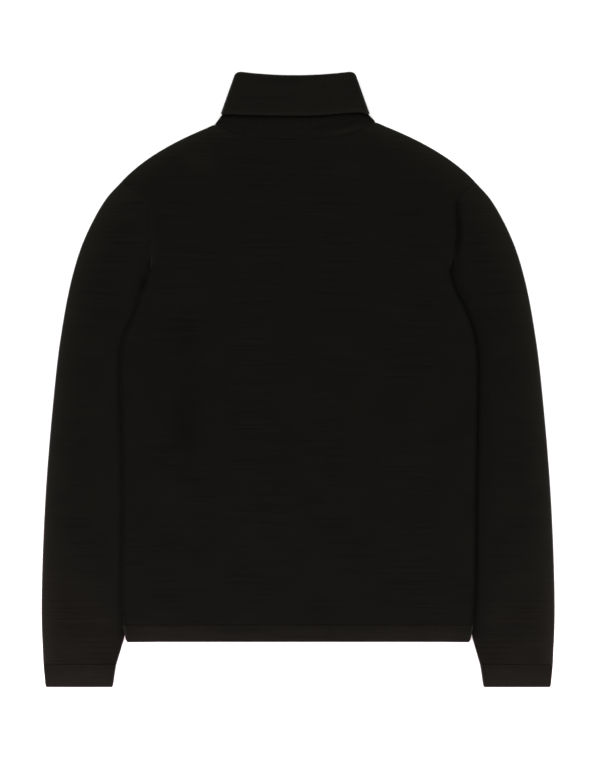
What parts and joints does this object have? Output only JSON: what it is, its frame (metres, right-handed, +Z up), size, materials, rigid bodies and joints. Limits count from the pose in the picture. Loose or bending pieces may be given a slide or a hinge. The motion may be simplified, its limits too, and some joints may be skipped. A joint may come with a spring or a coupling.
{
  "type": "roll-neck sweater",
  "caption": "Long-sleeved roll-neck sweater in fine black knit, laid flat with its back up, sleeves straight down, with rib collar, cuffs and hem.",
  "frame": {"origin": "on the surface the sweater lies on, under the middle of its length and width", "axes": "+X across the body towards the wearer's right sleeve, +Y from the hem to the collar, +Z up from the surface, out of the back"},
  "size_m": [0.6668, 0.7992, 0.0112],
  "materials": {
    "jersey": "fine black jersey knit, matt, with a faint lighter fuzz at grazing angles",
    "rib": "black rib knit, matt, its ribs about 5 to 6 mm apart on the collar"
  },
  "bodies": {
    "root": {"front_panel": "jersey", "back_panel": "jersey", "sleeve_left": "jersey", "sleeve_right": "jersey", "cuff_left": "rib", "cuff_right": "rib", "hem_band": "rib", "collar": "rib"}
  },
  "joints": []
}
